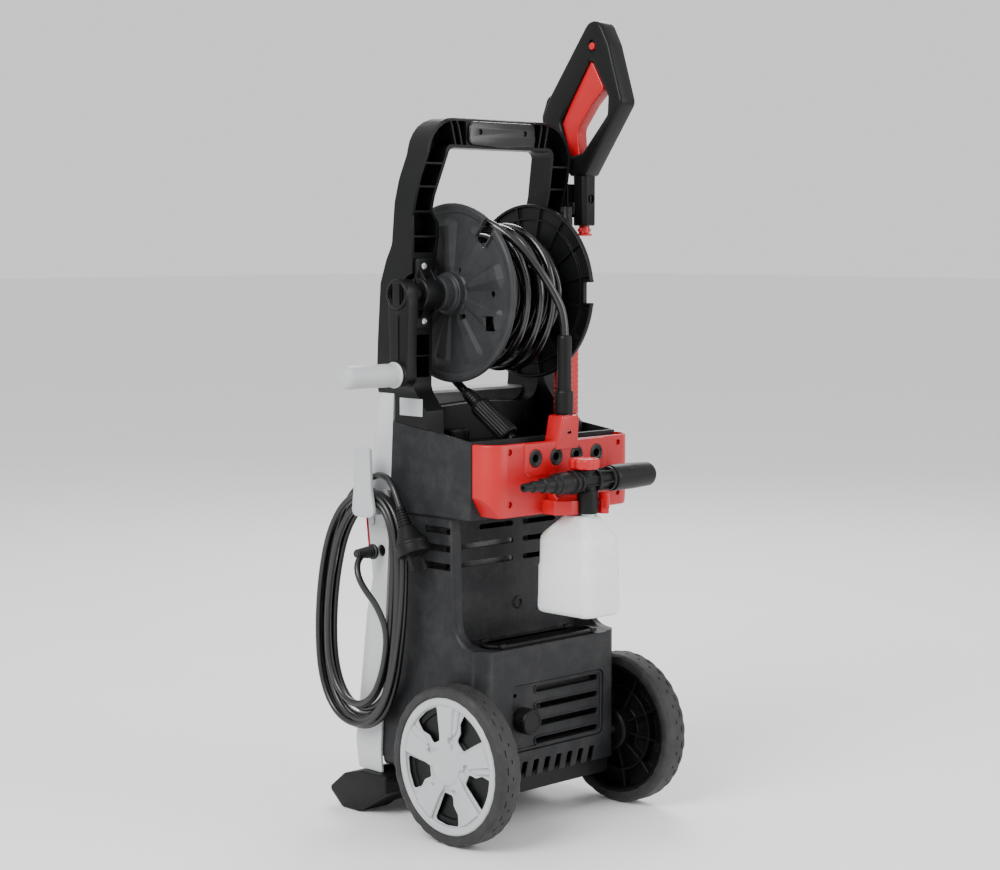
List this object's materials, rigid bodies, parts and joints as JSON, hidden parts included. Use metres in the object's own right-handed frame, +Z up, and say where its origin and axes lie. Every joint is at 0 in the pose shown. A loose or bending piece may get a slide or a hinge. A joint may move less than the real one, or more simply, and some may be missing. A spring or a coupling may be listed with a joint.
{
  "type": "pressure washer",
  "caption": "Upright wheeled pressure washer with a hose reel, trigger gun, lance, foam sprayer, nozzle holder and a wound power cord.",
  "frame": {"origin": "bottom centre of the machine without its power cord and hose, on the floor", "axes": "+Z up, +X along the wheel axle towards the crank, +Y to the rear where the foam sprayer hangs; the front cover faces -Y"},
  "size_m": [0.3803, 0.3487, 0.931],
  "materials": {
    "body_grey": "satin",
    "cover_grey": "satin",
    "frame_black": "satin",
    "reel_grey": "satin",
    "red": "satin",
    "black_plastic": "satin",
    "rubber": "matte",
    "tyre": "matte",
    "light_grey": "satin",
    "steel": "brushed",
    "cast": "cast",
    "bottle": "translucent",
    "tank": "satin"
  },
  "bodies": {
    "machine": {"rear_housing": "body_grey", "front_cover": "cover_grey", "front_trim": "red", "power_switch": "black_plastic", "base_chassis": "black_plastic", "foot_bar": "black_plastic", "rear_grille": "body_grey", "bottle_basket": "body_grey", "top_deck": "black_plastic", "handle_frame": "frame_black", "grip_insert": "black_plastic", "bearing_brackets": "frame_black", "bracket_screws": "steel", "hose_connector": "black_plastic", "hose_nut": "black_plastic", "nozzle_holder": "red", "nozzle_sockets": "rubber", "gun_holder": "black_plastic", "detergent_tank": "tank", "motor_body": "cast", "pump_body": "cast", "pump_pistons": "steel", "pump_head": "cast", "water_inlet": "black_plastic", "outlet_pipe": "steel", "wheel_axle": "steel", "cable_hook": "light_grey", "cord_gland": "black_plastic", "cord_bundle": "rubber", "mains_plug": "black_plastic", "hose_feed": "rubber", "hose_tail": "rubber", "cord_ends": "rubber"},
    "wheel_near": {"wheel_tyre_near": "tyre", "wheel_rim_near": "frame_black", "wheel_cover_near": "light_grey"},
    "wheel_far": {"wheel_tyre_far": "tyre", "wheel_rim_far": "frame_black", "wheel_cover_far": "light_grey"},
    "reel": {"flange_near": "reel_grey", "flange_far": "frame_black", "reel_shaft": "frame_black", "crank_arm": "frame_black", "hose_coil": "rubber"},
    "crank_knob": {"crank_knob": "light_grey"},
    "gun": {"gun_body": "body_grey", "gun_bayonet": "red"},
    "gun_trigger": {"gun_trigger": "red"},
    "gun_lock": {"gun_lock": "red"},
    "lance": {"lance_tube": "black_plastic"},
    "lance_sleeve": {"lance_sleeve": "red"},
    "foam_sprayer": {"foam_body": "black_plastic", "foam_bottle": "bottle"},
    "dosing_knob": {"dosing_knob": "red"},
    "foam_nozzle": {"foam_nozzle": "black_plastic"},
    "tank_cap": {"tank_cap": "black_plastic"},
    "switch_knob": {"switch_knob": "red"},
    "inlet_plug": {"inlet_plug": "black_plastic"},
    "motor": {"motor_rotor": "steel", "motor_fan": "black_plastic"}
  },
  "joints": [
    {"name": "wheel_near_spin", "type": "hinge", "parent": "machine", "child": "wheel_near", "pos_m": [0.099, 0.067, 0.09], "axis": [1, 0, 0], "continuous": true},
    {"name": "wheel_far_spin", "type": "hinge", "parent": "machine", "child": "wheel_far", "pos_m": [-0.175, 0.067, 0.09], "axis": [1, 0, 0], "continuous": true},
    {"name": "reel_spin", "type": "hinge", "parent": "machine", "child": "reel", "pos_m": [-0.038, -0.0172, 0.6126], "axis": [1, 0, 0], "continuous": true},
    {"name": "crank_knob_spin", "type": "hinge", "parent": "reel", "child": "crank_knob", "pos_m": [0.152, -0.0172, 0.5223], "axis": [1, 0, 0], "continuous": true},
    {"name": "gun_off", "type": "slide", "parent": "machine", "child": "gun", "axis": [0, 1, 0], "range_m": [0, 0.15]},
    {"name": "trigger_pull", "type": "hinge", "parent": "gun", "child": "gun_trigger", "pos_m": [-0.176, -0.009, 0.768], "axis": [1, 0, 0], "range_deg": [0, 7], "stiffness_Nm_per_rad": 1.5},
    {"name": "trigger_lock", "type": "slide", "parent": "gun", "child": "gun_lock", "axis": [1, 0, 0], "range_m": [0, 0.003]},
    {"name": "lance_lift", "type": "slide", "parent": "machine", "child": "lance", "axis": [0, 0, 1], "range_m": [0, 0.15]},
    {"name": "lance_sleeve_turn", "type": "hinge", "parent": "lance", "child": "lance_sleeve", "pos_m": [-0.124, 0.021, 0.5], "axis": [0, 0, 1], "range_deg": [0, 90]},
    {"name": "foam_sprayer_off", "type": "slide", "parent": "machine", "child": "foam_sprayer", "axis": [0, 1, 0], "range_m": [0, 0.12]},
    {"name": "dosing_knob_turn", "type": "hinge", "parent": "foam_sprayer", "child": "dosing_knob", "pos_m": [-0.032, 0.138, 0.425], "axis": [0, 0, 1], "range_deg": [0, 270]},
    {"name": "foam_nozzle_turn", "type": "hinge", "parent": "foam_sprayer", "child": "foam_nozzle", "pos_m": [0.022, 0.138, 0.404], "axis": [1, 0, 0], "range_deg": [0, 90]},
    {"name": "tank_cap_off", "type": "slide", "parent": "machine", "child": "tank_cap", "axis": [0, 0, 1], "range_m": [0, 0.02]},
    {"name": "switch_turn", "type": "hinge", "parent": "machine", "child": "switch_knob", "pos_m": [-0.038, -0.123, 0.4], "axis": [0, 1, 0], "range_deg": [0, 90]},
    {"name": "inlet_plug_off", "type": "slide", "parent": "machine", "child": "inlet_plug", "axis": [0, 1, 0], "range_m": [0, 0.03]},
    {"name": "motor_spin", "type": "hinge", "parent": "machine", "child": "motor", "pos_m": [-0.038, -0.031, 0.26], "axis": [0, 0, 1], "continuous": true}
  ]
}
